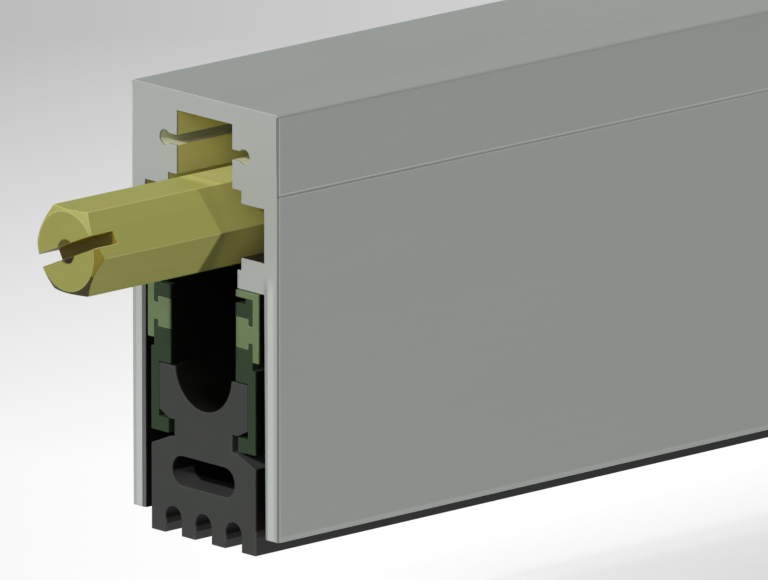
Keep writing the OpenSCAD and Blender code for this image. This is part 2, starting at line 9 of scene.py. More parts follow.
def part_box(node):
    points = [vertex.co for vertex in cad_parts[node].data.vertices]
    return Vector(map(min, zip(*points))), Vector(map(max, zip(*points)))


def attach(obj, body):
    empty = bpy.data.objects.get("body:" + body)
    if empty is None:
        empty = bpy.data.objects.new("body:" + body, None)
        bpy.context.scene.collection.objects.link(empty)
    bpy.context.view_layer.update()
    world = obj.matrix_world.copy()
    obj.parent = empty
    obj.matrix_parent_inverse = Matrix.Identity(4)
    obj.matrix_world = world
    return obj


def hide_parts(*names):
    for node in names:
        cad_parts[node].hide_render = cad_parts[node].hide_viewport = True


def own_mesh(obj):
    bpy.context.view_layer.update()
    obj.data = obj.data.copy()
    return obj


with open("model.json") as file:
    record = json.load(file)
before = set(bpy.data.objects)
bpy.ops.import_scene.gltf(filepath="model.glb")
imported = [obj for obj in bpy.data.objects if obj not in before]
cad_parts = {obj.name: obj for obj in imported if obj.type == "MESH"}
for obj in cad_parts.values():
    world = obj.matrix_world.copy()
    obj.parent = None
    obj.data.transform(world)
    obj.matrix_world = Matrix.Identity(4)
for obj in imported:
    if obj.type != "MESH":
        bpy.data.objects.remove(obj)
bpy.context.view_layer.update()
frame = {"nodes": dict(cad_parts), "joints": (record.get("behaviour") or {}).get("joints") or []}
MM = 0.001

# Camera
# A long lens, so that the housing's long edges run nearly parallel, as they do in the photograph.
# It looks at the open end from the right and a little above.
AZIMUTH = math.radians(47.2)
ELEVATION = math.radians(13.97)
END_DISTANCE = 1602 * MM
TARGET_BEHIND_END = 16.7 * MM
TARGET_HEIGHT = 14.96 * MM
LENS = 1100
SENSOR_WIDTH = 36
NEAREST = 0.05
FARTHEST = 20
front_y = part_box("housing")[0].y
back = Vector((
    math.sin(AZIMUTH) * math.cos(ELEVATION),
    -math.cos(AZIMUTH) * math.cos(ELEVATION),
    math.sin(ELEVATION),
))
target = Vector((0, front_y + TARGET_BEHIND_END, TARGET_HEIGHT))
camera_data = bpy.data.cameras.new("camera")
camera_data.lens = LENS
camera_data.sensor_width = SENSOR_WIDTH
camera_data.clip_start = NEAREST
camera_data.clip_end = FARTHEST
camera = bpy.data.objects.new("camera", camera_data)
camera.location = target + back * (END_DISTANCE + TARGET_BEHIND_END * math.cos(AZIMUTH))
camera.rotation_mode = "QUATERNION"
camera.rotation_quaternion = back.to_track_quat("Z", "Y")
bpy.context.scene.collection.objects.link(camera)
bpy.context.scene.camera = camera
bpy.context.scene.view_settings.view_transform = "Standard"

# Lights
# A pale room, a lamp before the open end, a broad one beside the camera and one above on the left.
# A low lamp behind on the right shines upwards, and the housing's edge cuts it off the plunger's root.
ROOM_LEVEL = 0.26
ROOM_SEEN = 0.75
# Azimuth and elevation that the light comes from, width of the lamp, all in degrees, and level
LAMPS = {
    "end_lamp": (0, 37, 3, 0.78),
    "front_lamp": (38, 22, 40, 0.2),
    "top_lamp": (-90, 75, 10, 0.34),
    "side_lamp": (111.5, -28, 2, 0.46),
}
room = bpy.data.worlds.new("room")
bpy.context.scene.world = room
room.use_nodes = True
room_tree = room.node_tree
backdrop = room_tree.nodes["Background"]
backdrop.inputs["Color"].default_value = (1, 1, 1, 1)
to_eye = room_tree.nodes.new("ShaderNodeLightPath").outputs["Is Camera Ray"]
room_light = room_tree.nodes.new("ShaderNodeMapRange")
room_light.inputs["To Min"].default_value = ROOM_LEVEL
room_light.inputs["To Max"].default_value = ROOM_SEEN
room_tree.links.new(to_eye, room_light.inputs["Value"])
room_tree.links.new(room_light.outputs["Result"], backdrop.inputs["Strength"])
for name, (azimuth, elevation, width, level) in LAMPS.items():
    lamp_data = bpy.data.lights.new(name, "SUN")
    lamp_data.energy = level * math.pi
    lamp_data.angle = math.radians(width)
    lamp = bpy.data.objects.new(name, lamp_data)
    lamp.rotation_euler = (math.radians(90 - elevation), 0, math.radians(azimuth))
    bpy.context.scene.collection.objects.link(lamp)

# Floor
# A pale floor where the dropped seal touches it, greyer far off and near by on the right. Only the
# eye and the reflections see it lifted towards white, and it lets the low lamp through.

# Sockets of a Mix node that mixes colours
MIX_SHARE, MIX_FIRST, MIX_SECOND, MIX_RESULT = 0, 6, 7, 2


def add(tree, kind, **settings):
    """A shader node of that kind, with its settings."""
    node = tree.nodes.new("ShaderNode" + kind)
    for key, value in settings.items():
        setattr(node, key, value)
    return node


def feed(tree, given, socket):
    """Links a socket to an input, or writes a plain value into it."""
    if isinstance(given, bpy.types.NodeSocket):
        tree.links.new(given, socket)
    else:
        socket.default_value = given


def maths(tree, operation, *given):
    """The result of a Math node."""
    node = add(tree, "Math", operation=operation)
    for value, socket in zip(given, node.inputs):
        feed(tree, value, socket)
    return node.outputs[0]


def products(tree, first, by_first, second, by_second):
    """The sum of two products."""
    return maths(tree, "ADD", maths(tree, "MULTIPLY", first, by_first),
                 maths(tree, "MULTIPLY", second, by_second))


def spread(tree, value, low, high, to_low=0.0, to_high=1.0):
    """A value carried from one range to another, and held at its ends."""
    node = add(tree, "MapRange")
    ranges = {"Value": value, "From Min": low, "From Max": high, "To Min": to_low, "To Max": to_high}
    for name, given in ranges.items():
        feed(tree, given, node.inputs[name])
    return node.outputs["Result"]


def blend(tree, share, first, second):
    """Two colours mixed by a share."""
    node = add(tree, "Mix", data_type="RGBA")
    for given, index in ((share, MIX_SHARE), (first, MIX_FIRST), (second, MIX_SECOND)):
        feed(tree, given, node.inputs[index])
    return node.outputs[MIX_RESULT]


def places(tree):
    """The three object coordinates of the surface, in metres."""
    parts = add(tree, "SeparateXYZ")
    tree.links.new(add(tree, "TexCoord").outputs["Object"], parts.inputs[0])
    return parts.outputs


def either(tree, *shares):
    """The greatest of several shares."""
    found = shares[0]
    for share in shares[1:]:
        found = maths(tree, "MAXIMUM", found, share)
    return found


def both(tree, *shares):
    """The product of several shares."""
    found = shares[0]
    for share in shares[1:]:
        found = maths(tree, "MULTIPLY", found, share)
    return found


def over(tree, value, limit):
    """One where a value is greater than a limit, and zero elsewhere."""
    return maths(tree, "GREATER_THAN", value, limit)


def under(tree, value, limit):
    """One where a value is less than a limit, and zero elsewhere."""
    return maths(tree, "LESS_THAN", value, limit)


def within(tree, value, low, high):
    """One where a value lies between two others, and zero elsewhere."""
    return both(tree, over(tree, value, low), under(tree, value, high))


def grey(level):
    """A grey of that level, as a colour."""
    return (level, level, level, 1)


def travel(joint_name):
    """How far a sliding joint of the frame moves."""
    return next(joint for joint in frame["joints"] if joint["name"] == joint_name)["range_m"][1]


FLOOR_SIZE = 5.0
PALE = 0.12
PALE_LIT = PALE * 0.9
# Each ramp gives two distances over the floor from the open end, and the floor's level at each
FAR_AWAY = (193 * MM, 61 * MM, 0.527, 0.967)
FAR_RIGHT = (-30 * MM, 70 * MM, -0.105, 0.245)
NEAR_AWAY = (31 * MM, 91 * MM, 1.05, 1.42)
NEAR_RIGHT = (-30 * MM, 70 * MM, -0.2, 0.462)
EVEN_FROM = 260 * MM
EVEN_TO = 420 * MM
EVEN_LEVEL = 0.93
bm = bmesh.new()
bmesh.ops.create_grid(bm, x_segments=1, y_segments=1, size=FLOOR_SIZE / 2,
                      matrix=Matrix.Translation((0, 0, -travel("seal_drop"))))
floor_mesh = bpy.data.meshes.new("floor")
bm.to_mesh(floor_mesh)
bm.free()
floor = bpy.data.objects.new("floor", floor_mesh)
bpy.context.scene.collection.objects.link(floor)
pale = bpy.data.materials.new("pale_floor")
pale.use_nodes = True
tree = pale.node_tree
shader = tree.nodes["Principled BSDF"]
x, y, _ = places(tree)
y = maths(tree, "SUBTRACT", y, front_y)
# Distances over the floor from the open end: away from the camera, and to its right
away = products(tree, x, -math.sin(AZIMUTH), y, math.cos(AZIMUTH))
right = products(tree, x, math.cos(AZIMUTH), y, math.sin(AZIMUTH))
# The floor is whitest in a band before and to the left, and greyer far off and near on the right
far_light = maths(tree, "ADD", spread(tree, away, *FAR_AWAY), spread(tree, right, *FAR_RIGHT))
near_light = maths(tree, "SUBTRACT", spread(tree, away, *NEAR_AWAY), spread(tree, right, *NEAR_RIGHT))
light = maths(tree, "MINIMUM", 1.0, maths(tree, "MINIMUM", far_light, near_light))
# Far from the open end the floor is evenly pale
far = maths(tree, "SQRT", products(tree, x, x, y, y))
light = spread(tree, far, EVEN_FROM, EVEN_TO, light, EVEN_LEVEL)
shader.inputs["Base Color"].default_value = grey(PALE)
shader.inputs["Roughness"].default_value = 0.9
shader.inputs["Specular IOR Level"].default_value = 0.1
path = add(tree, "LightPath")
seen = either(tree, path.outputs["Is Camera Ray"], path.outputs["Is Glossy Ray"],
              path.outputs["Is Transmission Ray"])
shader.inputs["Emission Color"].default_value = grey(1.0)
lift = maths(tree, "MAXIMUM", 0.0, maths(tree, "SUBTRACT", light, PALE_LIT))
feed(tree, both(tree, seen, lift), shader.inputs["Emission Strength"])
feed(tree, maths(tree, "SUBTRACT", 1.0, path.outputs["Is Shadow Ray"]), shader.inputs["Alpha"])
floor.data.materials.append(pale)

# Housing
# One length of drawn and sawn aluminium, open below, with a channel and two screw keys above.
# Its walls are milled for the side screws, and a film of grease, painted pale as painted light, lies in the
# sliding channel.


def group(name, numbers, results):
    """An empty shader node group with named numbers in and named results out."""
    tree = bpy.data.node_groups.new(name, "ShaderNodeTree")
    for label, value in numbers.items():
        socket = tree.interface.new_socket(label, in_out="INPUT", socket_type="NodeSocketFloat")
        socket.default_value = value
    for label in results:
        tree.interface.new_socket(label, in_out="OUTPUT", socket_type="NodeSocketFloat")
    return tree, tree.nodes.new("NodeGroupInput"), tree.nodes.new("NodeGroupOutput")


def noise(tree, vector, scale, detail=3.0, roughness=0.55):
    """The level of a noise pattern at a place."""
    node = add(tree, "TexNoise")
    feed(tree, vector, node.inputs["Vector"])
    feed(tree, scale, node.inputs["Scale"])
    node.inputs["Detail"].default_value = detail
    node.inputs["Roughness"].default_value = roughness
    return node.outputs["Fac"]


def stretched(tree, x, y, z):
    """The object coordinates, each multiplied by its own number."""
    node = add(tree, "Mapping")
    tree.links.new(add(tree, "TexCoord").outputs["Object"], node.inputs["Vector"])
    node.inputs["Scale"].default_value = (x, y, z)
    return node.outputs["Vector"]


# Lines that the die or the drawing ring leaves along a bar, over a slow change of tone
PER_MM = 1000
LINES_ALONG = 4
CLOUD_ALONG = 350
LINES_SHARE = 0.6
drawn, given, result = group("drawn_lines", {"Lines per mm": 3.0, "Cloud per mm": 0.15}, ("Tone", "Height"))
lines = noise(drawn, stretched(drawn, PER_MM, LINES_ALONG, PER_MM), given.outputs["Lines per mm"],
              detail=4.0, roughness=0.6)
cloud = noise(drawn, stretched(drawn, PER_MM, CLOUD_ALONG, PER_MM), given.outputs["Cloud per mm"])
feed(drawn, products(drawn, lines, LINES_SHARE, cloud, 1 - LINES_SHARE), result.inputs["Tone"])
feed(drawn, lines, result.inputs["Height"])

# Fine even grain of a moulded, cast or blasted skin, with broad soft patches
GRAIN_SHARE = 0.5
skin, given, result = group("moulded_skin", {"Grain per mm": 8.0, "Cloud per mm": 0.4}, ("Tone", "Height"))
grain = noise(skin, stretched(skin, PER_MM, PER_MM, PER_MM), given.outputs["Grain per mm"],
              detail=5.0, roughness=0.65)
cloud = noise(skin, stretched(skin, PER_MM, PER_MM, PER_MM), given.outputs["Cloud per mm"])
feed(skin, products(skin, grain, GRAIN_SHARE, cloud, 1 - GRAIN_SHARE), result.inputs["Tone"])
feed(skin, grain, result.inputs["Height"])

TONE_LOW = 0.3
TONE_HIGH = 0.7
ROUGHNESS_SWING = 0.06
RELIEF_DEPTH = 0.004 * MM


def finish_of(name, pattern, scales, dark, light, edge, roughness, metallic=0.0, relief=0.3):
    """A material whose colour and roughness follow a pattern, with paler edges that are partly wear and
    partly a painted highlight.
    """
    material = bpy.data.materials.new(name)
    material.use_nodes = True
    tree = material.node_tree
    shader = tree.nodes["Principled BSDF"]
    placed = add(tree, "Group", node_tree=pattern)
    for scale, socket in zip(scales, placed.inputs):
        socket.default_value = scale
    tone = spread(tree, placed.outputs["Tone"], TONE_LOW, TONE_HIGH)
    # The rounded edges are paler: partly wear, partly a painted highlight
    edge_wear_and_highlight = add(tree, "Attribute", attribute_name="edge").outputs["Fac"]
    colour = blend(tree, tone, (*dark, 1), (*light, 1))
    colour = blend(tree, edge_wear_and_highlight, colour, (*edge, 1))
    feed(tree, colour, shader.inputs["Base Color"])
    smooth, rough = roughness - ROUGHNESS_SWING, roughness + ROUGHNESS_SWING
    feed(tree, spread(tree, tone, 0.0, 1.0, smooth, rough), shader.inputs["Roughness"])
    shader.inputs["Metallic"].default_value = metallic
    bump = add(tree, "Bump")
    bump.inputs["Strength"].default_value = relief
    bump.inputs["Distance"].default_value = RELIEF_DEPTH
    feed(tree, placed.outputs["Height"], bump.inputs["Height"])
    feed(tree, bump.outputs["Normal"], shader.inputs["Normal"])
    return material, tree, shader, colour


SHARP = math.radians(35)
FLAT = math.radians(0.5)
MERGE_GAP = 0.001 * MM
CUT_GAP = 0.0001 * MM


def solid_of(node, divisions=()):
    """A CAD node as a bmesh with whole flat faces, which only end at the given places."""
    bm = bmesh.new()
    bm.from_mesh(frame["nodes"][node].data)
    bmesh.ops.remove_doubles(bm, verts=bm.verts, dist=MERGE_GAP)
    for place in divisions:
        cut = bmesh.ops.bisect_plane(bm, geom=bm.verts[:] + bm.edges[:] + bm.faces[:], dist=CUT_GAP,
                                     plane_co=(0, place, 0), plane_no=(0, 1, 0))
        for part in cut["geom_cut"]:
            if isinstance(part, bmesh.types.BMEdge):
                part.seam = True
    bmesh.ops.dissolve_limit(bm, angle_limit=FLAT, verts=bm.verts, edges=bm.edges, delimit={"SEAM"})
    return bm


def eased(bm, width, segments=2, mark=1.0, chosen=lambda edge: True):
    """Rounds the chosen sharp edges a little, and marks the rounded faces."""
    layer = bm.faces.layers.float.get("edge") or bm.faces.layers.float.new("edge")
    sharp = [edge for edge in bm.edges
             if edge.is_manifold and edge.calc_face_angle(0) > SHARP and chosen(edge)]
    rounded = bmesh.ops.bevel(bm, geom=sharp, offset=width, offset_type="OFFSET", segments=segments,
                              profile=0.5, affect="EDGES", clamp_overlap=False, material=-1)
    for face in rounded["faces"]:
        face[layer] = mark
    return bm


def piece(bm, name, material, body, slot, *nodes):
    """Makes the object, shades it smooth but for its sharp edges, and ties it to the frame."""
    mesh = bpy.data.meshes.new(name)
    for face in bm.faces:
        face.smooth = True
    for edge in bm.edges:
        edge.smooth = edge.is_manifold and edge.calc_face_angle(0) < SHARP
    bm.to_mesh(mesh)
    bm.free()
    mesh.materials.append(material)
    made = bpy.data.objects.new(name, mesh)
    bpy.context.scene.collection.objects.link(made)
    even = made.modifiers.new("even_shading", "WEIGHTED_NORMAL")
    even.keep_sharp = True
    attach(made, body)
    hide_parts(*nodes)
    return made


def from_end(tree, y, node):
    """Distance of a place to the nearer end of a node."""
    low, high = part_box(node)
    off_middle = maths(tree, "ABSOLUTE", maths(tree, "SUBTRACT", y, (low.y + high.y) / 2))
    return maths(tree, "SUBTRACT", (high.y - low.y) / 2, off_middle)


housing_low, housing_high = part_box("housing")
alloy, tree, shader, colour = finish_of(
    "drawn_alloy", drawn, (3.0, 0.15), dark=(0.283, 0.303, 0.286), light=(0.300, 0.320, 0.303),
    edge=(0.40, 0.43, 0.41), roughness=0.5, metallic=0.1, relief=0.15)
x, y, z = places(tree)
half_x = maths(tree, "ABSOLUTE", x)
end_gap = from_end(tree, y, "housing")

# The sawn ends are painted paler than the sides as painted light, and palest on the two walls as a painted
# highlight, but for the painted shade on their filed outer and inner edges
SAWN = 0.01 * MM
FILED = 0.15 * MM
FOOT_FROM = housing_low.z + 18.7 * MM
FOOT_TO = housing_low.z + 17.5 * MM
PALE_FROM = housing_high.x - 1.03 * MM
PALE_TO = housing_high.x - 0.45 * MM
INNER_BAND = 0.4 * MM
FILED_FROM = housing_high.x * 0.78
LIT_END_ALLOY = (0.388, 0.407, 0.384, 1)
HIGHLIGHT_ALLOY = (0.485, 0.51, 0.487, 1)
LEFT_INNER_SHADE = (0.097, 0.101, 0.097, 1)
RIGHT_INNER_SHADE = (0.30, 0.31, 0.30, 1)
SHADED_CHAMFER_ALLOY = (0.165, 0.173, 0.165, 1)
foot = spread(tree, z, FOOT_FROM, FOOT_TO)
# A painted highlight on the ends of the two lower walls
painted_highlight = both(tree, foot, within(tree, half_x, PALE_FROM, PALE_TO))
# A painted shade along the inner edges of the walls' ends, darkest on the left
painted_inner_shade = both(tree, foot, within(tree, half_x, PALE_FROM - INNER_BAND, PALE_FROM))
lit_end_colour = blend(tree, painted_highlight, LIT_END_ALLOY, HIGHLIGHT_ALLOY)
inner_shade_colour = blend(tree, over(tree, x, 0.0), LEFT_INNER_SHADE, RIGHT_INNER_SHADE)
lit_end_colour = blend(tree, painted_inner_shade, lit_end_colour, inner_shade_colour)
# The end faces take the paler colour, as painted light
colour = blend(tree, under(tree, end_gap, SAWN), colour, lit_end_colour)
# A painted shade on the filed outer chamfers
filed = both(tree, within(tree, end_gap, SAWN, FILED + SAWN), over(tree, half_x, FILED_FROM),
             under(tree, z, housing_high.z - FILED))
colour = blend(tree, filed, colour, SHADED_CHAMFER_ALLOY)

# A thin painted highlight runs along the long lower edges
LOWER_HIGHLIGHT_DEPTH = 0.02 * MM
LOWER_HIGHLIGHT_FROM = housing_low.z + 0.1 * MM
LOWER_HIGHLIGHT_TO = housing_low.z + 0.38 * MM
LOWER_HIGHLIGHT_ALLOY = (0.345, 0.37, 0.35, 1)
lower_highlight = both(tree, over(tree, half_x, housing_high.x - LOWER_HIGHLIGHT_DEPTH), over(tree, end_gap, FILED),
              within(tree, z, LOWER_HIGHLIGHT_FROM, LOWER_HIGHLIGHT_TO))
colour = blend(tree, lower_highlight, colour, LOWER_HIGHLIGHT_ALLOY)

# Yellow grease covers the walls of the upper channel and the slideway, and less of it the screw keys,
# painted pale as painted light. A black painted shade covers the floor of the slideway and the walls of the
# lower chamber.
PALE_LIT_GREASE = (0.74, 0.70, 0.26, 1)
THIN_LIT_GREASE = (0.66, 0.66, 0.46, 1)
# Black for painted shade, here and on the carrier's inner and hidden faces
PAINTED_SHADE_BLACK = (0.004, 0.004, 0.003, 1)
BARE_END = 0.15 * MM
SHADE_FROM = SAWN * 3
WALL_GAP = 0.06 * MM
PIN_TO_WALL = 0.3 * MM
ANCHOR_TO_ROOF = 0.9 * MM
CHANNEL_ROOF = housing_high.z - 1.0 * MM
KEY_MIDDLE = housing_high.z - 3.5 * MM
KEY_HALF = 0.6 * MM
anchor_low, anchor_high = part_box("spring_anchor")
channel_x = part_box("cross_pin_front")[1].x + PIN_TO_WALL + WALL_GAP
slideway_x = anchor_high.x + WALL_GAP * 2
slideway_roof = anchor_high.z + ANCHOR_TO_ROOF
slideway_floor = anchor_low.z + WALL_GAP
behind_end = over(tree, end_gap, BARE_END)
in_channel = both(tree, under(tree, half_x, channel_x), within(tree, z, slideway_floor, CHANNEL_ROOF))
in_slideway = both(tree, under(tree, half_x, slideway_x), within(tree, z, slideway_floor, slideway_roof))
in_key = both(tree, within(tree, half_x, channel_x, slideway_x),
              within(tree, z, KEY_MIDDLE - KEY_HALF, KEY_MIDDLE + KEY_HALF))
in_chamber = both(tree, under(tree, half_x, slideway_x), under(tree, z, slideway_floor))
for share, grease_and_light in ((either(tree, in_channel, in_slideway), PALE_LIT_GREASE), (in_key, THIN_LIT_GREASE)):
    colour = blend(tree, both(tree, behind_end, share), colour, grease_and_light)
# A painted shade in black over the lower chamber, behind its ends
colour = blend(tree, both(tree, over(tree, end_gap, SHADE_FROM), in_chamber), colour, PAINTED_SHADE_BLACK)
feed(tree, colour, shader.inputs["Base Color"])

STRAIGHT = 0.01 * MM
WALLS_FROM = 5.5 * MM
OUTER_FACE_FROM = 7 * MM
LEG_TOP = 18.6 * MM
SCREWS_APART = 4 * MM


def at_outer_corner(edge):
    """True on the walls' long end edges, which are filed flat after sawing."""
    start, stop = [vertex.co for vertex in edge.verts]
    upright = abs(start.x - stop.x) < STRAIGHT and abs(start.y - stop.y) < STRAIGHT
    at_end = all(min(abs(end.y - housing_low.y), abs(end.y - housing_high.y)) < STRAIGHT
                 for end in (start, stop))
    on_wall = abs(start.x) > WALLS_FROM and (abs(start.x) > OUTER_FACE_FROM or start.z < LEG_TOP)
    return upright and at_end and on_wall


def screw_places():
    """Where the side screws sit along the part, each once."""
    lengthways = sorted(vertex.co.y for vertex in frame["nodes"]["side_screws"].data.vertices)
    clusters = [[lengthways[0]]]
    for place in lengthways[1:]:
        if place - clusters[-1][-1] > SCREWS_APART:
            clusters.append([])
        clusters[-1].append(place)
    return [(cluster[0] + cluster[-1]) / 2 for cluster in clusters]


# The walls are divided at the screw holes, so that no face runs all round a hole
bm = solid_of("housing", divisions=screw_places())
eased(bm, width=FILED, segments=1, mark=0.0, chosen=at_outer_corner)
piece(eased(bm, width=0.06 * MM), "housing_profile", alloy, "housing", "housing_alloy", "housing")

# Plunger
# A drawn hexagon bar of brass, turned to a chamfer at its end and slotted for a screwdriver.
# It turns on the adjusting stud, and its inner part is painted lighter, as painted light.
brass, tree, shader, colour = finish_of(
    "plunger_brass", drawn, (4.0, 0.3), dark=(0.285, 0.282, 0.070), light=(0.318, 0.314, 0.082),
    edge=(0.39, 0.39, 0.13), roughness=0.5)
shader.inputs["Specular IOR Level"].default_value = 0.2
tip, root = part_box("hex_plunger")
axis_z = (tip.z + root.z) / 2
x, y, z = places(tree)
height = maths(tree, "SUBTRACT", z, axis_z)

# Painted light on the inner part, least on the upper slanted faces and most on the lower ones
ROOT_LIGHT_FROM = front_y - 1.2 * MM
ROOT_LIGHT_TO = front_y + 0.8 * MM
TOP_GAP = 0.05 * MM
UPPER_ROOT_LIGHT = (0.42, 0.40, 0.11, 1)
TOP_ROOT_LIGHT = (0.58, 0.56, 0.20, 1)
LOWER_ROOT_LIGHT = (0.78, 0.73, 0.20, 1)
inside = spread(tree, y, ROOT_LIGHT_FROM, ROOT_LIGHT_TO)
colour = blend(tree, inside, colour, UPPER_ROOT_LIGHT)
on_top = over(tree, height, root.z - axis_z - TOP_GAP)
colour = blend(tree, both(tree, inside, on_top), colour, TOP_ROOT_LIGHT)
in_lower_half = under(tree, height, 0.0)
colour = blend(tree, both(tree, inside, in_lower_half), colour, LOWER_ROOT_LIGHT)

# Oily brown in the slot, partly painted light, and a painted shade on its floor and under the chamfer
SLOT_OIL_AND_LIGHT = (0.36, 0.29, 0.03, 1)
PLUNGER_SHADE = (0.012, 0.010, 0.003, 1)
slot_and_shade = add(tree, "Attribute", attribute_name="slot").outputs["Fac"]
colour = blend(tree, spread(tree, slot_and_shade, 0.0, 1.0), colour, SLOT_OIL_AND_LIGHT)
colour = blend(tree, spread(tree, slot_and_shade, 1.0, 2.0), colour, PLUNGER_SHADE)

# The centre left by the lathe, painted on the flat end as a painted shade for its hollow, deepest and
# darkest at its lower side
END_DEPTH = 0.01 * MM
CENTRE = 0.85 * MM
SOFT_RIM = 0.05 * MM
DEEP_RIGHT = 0.2 * MM
DEEP_DOWN = 0.3 * MM
DEEP_RADIUS = CENTRE * 0.6
CENTRE_SHADE = (0.085, 0.072, 0.008, 1)
on_end = under(tree, y, tip.y + END_DEPTH)


def round_spot(right, down, radius):
    """One on the end face within a circle."""
    sideways = maths(tree, "SUBTRACT", x, right)
    upwards = maths(tree, "ADD", height, down)
    reach = products(tree, sideways, sideways, upwards, upwards)
    return both(tree, on_end, spread(tree, reach, (radius + SOFT_RIM) ** 2, (radius - SOFT_RIM) ** 2))


colour = blend(tree, round_spot(0.0, 0.0, CENTRE), colour, CENTRE_SHADE)
colour = blend(tree, round_spot(DEEP_RIGHT, DEEP_DOWN, DEEP_RADIUS), colour, PLUNGER_SHADE)
feed(tree, colour, shader.inputs["Base Color"])

# How a face is painted: up to 1 the oily brown of the slot, and from 1 to 2 the painted shade
SLOT_TURN = math.radians(23)
SLOT_WIDTH = 0.9 * MM
SLOT_DEPTH = 2.0 * MM
SLOT_EDGE = 0.3 * MM
LOOSELY = 1.02
CHAMFER = 0.45 * MM
CHAMFER_STEEPEST = -0.95
CHAMFER_SHALLOWEST = -0.2
SLOT_WALL = 1.0
SLOT_FLOOR = 1.5
CHAMFER_UNDERSIDE = 1.45
CHAMFER_FOOT = 1.9
bm = eased(solid_of("hex_plunger"), width=0.05 * MM)
slot_and_shade_layer = bm.faces.layers.float.new("slot")
for face in bm.faces:
    middle = face.calc_center_median()
    across = (middle.z - axis_z) * math.cos(SLOT_TURN) - middle.x * math.sin(SLOT_TURN)
    in_slot = tip.y + SLOT_EDGE < middle.y < tip.y + SLOT_DEPTH * LOOSELY
    if in_slot and abs(across) < SLOT_WIDTH / 2 * LOOSELY:
        face[slot_and_shade_layer] = SLOT_WALL if abs(face.normal.y) < 0.5 else SLOT_FLOOR
    # A painted shade under the chamfer, darkest at its foot
    slanted = CHAMFER_STEEPEST < face.normal.y < CHAMFER_SHALLOWEST
    lower_right = middle.z < axis_z + CHAMFER * 1.5 and middle.x - middle.z > -axis_z
    if slanted and lower_right and middle.y < tip.y + CHAMFER:
        face[slot_and_shade_layer] = CHAMFER_UNDERSIDE if middle.z > axis_z - CHAMFER * 3 else CHAMFER_FOOT
piece(bm, "brass_plunger", brass, "plunger", "plunger_brass", "hex_plunger")

# Carrier rails
# Two extruded rails of dark green plastic, with a window punched for each snap barb.
# Their inner faces and their outer faces carry a black painted shade.
dark_green, tree, shader, colour = finish_of(
    "rail_plastic", drawn, (5.0, 0.5), dark=(0.018, 0.036, 0.015), light=(0.026, 0.046, 0.021),
    edge=(0.035, 0.062, 0.03), roughness=0.5)
shader.inputs["Specular IOR Level"].default_value = 0.15
HANGER_TO_THROAT = 0.1 * MM
CRADLE_ABOVE = 1.5 * MM
rail_low, rail_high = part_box("carrier_rail_right")
throat_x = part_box("hanger_front")[1].x + HANGER_TO_THROAT
cradle_z = rail_low.z + CRADLE_ABOVE


def blackened(tree, shader, colour, chosen):
    """Paints a black shade on the chosen faces of a carrier piece, but for its two ends."""
    x, y, z = places(tree)
    end_gap = from_end(tree, y, "seal")
    share = chosen(tree, maths(tree, "ABSOLUTE", x), end_gap, z)
    share = both(tree, share, over(tree, end_gap, BARE_END))
    feed(tree, blend(tree, share, colour, PAINTED_SHADE_BLACK), shader.inputs["Base Color"])


def in_throat(tree, half_x, z):
    """One between the rails, from the cradle up."""
    return both(tree, under(tree, half_x, throat_x), over(tree, z, cradle_z))


def black_on_rail(tree, half_x, end_gap, z):
    """The rails carry a black painted shade in the throat and on their outer faces."""
    return either(tree, in_throat(tree, half_x, z), over(tree, half_x, rail_high.x - WALL_GAP))


blackened(tree, shader, colour, black_on_rail)
for side in ("left", "right"):
    node = "carrier_rail_" + side
    piece(eased(solid_of(node), width=0.04 * MM), "rail_" + side, dark_green, "carrier", "rail_green", node)

# Glide strips
# Light green strips of slippery plastic, which run against the housing.
# Each has barbs that snap into the windows of its rail.
light_green, tree, shader, colour = finish_of(
    "glide_plastic", skin, (9.0, 0.5), dark=(0.118, 0.168, 0.074), light=(0.145, 0.205, 0.093),
    edge=(0.18, 0.25, 0.12), roughness=0.45)
shader.inputs["Specular IOR Level"].default_value = 0.25
strip_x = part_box("glide_strip_right")[1].x


def black_on_strip(tree, half_x, end_gap, z):
    """The strips carry a black painted shade on the barbs' tips and on the faces that run against the
    housing.
    """
    return either(tree, under(tree, half_x, throat_x), over(tree, half_x, strip_x - WALL_GAP))


blackened(tree, shader, colour, black_on_strip)
for side in ("left", "right"):
    node = "glide_strip_" + side
    piece(eased(solid_of(node), width=0.04 * MM), "glide_" + side, light_green, "carrier", "glide_green",
          node)

# Seal
# One extruded rubber profile, with a cradle above, a hollow in the middle and four ribs below.
# A black painted shade lies in the cradle, deep in the hollow, in the grooves and on the sides.
rubber, tree, shader, colour = finish_of(
    "seal_rubber", skin, (12.0, 0.6), dark=(0.041, 0.044, 0.041), light=(0.049, 0.052, 0.049),
    edge=(0.062, 0.065, 0.061), roughness=0.62)
shader.inputs["Specular IOR Level"].default_value = 0.15
HOLLOW_LOW, HOLLOW_MIDDLE, HOLLOW_HIGH = 3.5 * MM, 4.5 * MM, 5.8 * MM
HOLLOW_LIT = 2.0 * MM
GROOVE_LOW, GROOVE_HIGH = 0.6 * MM, 2.1 * MM
GROOVES_X = 4.1 * MM
EDGE_STEP = 0.01 * MM
BELOW_HOUSING = 0.45
seal_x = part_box("seal")[1].x


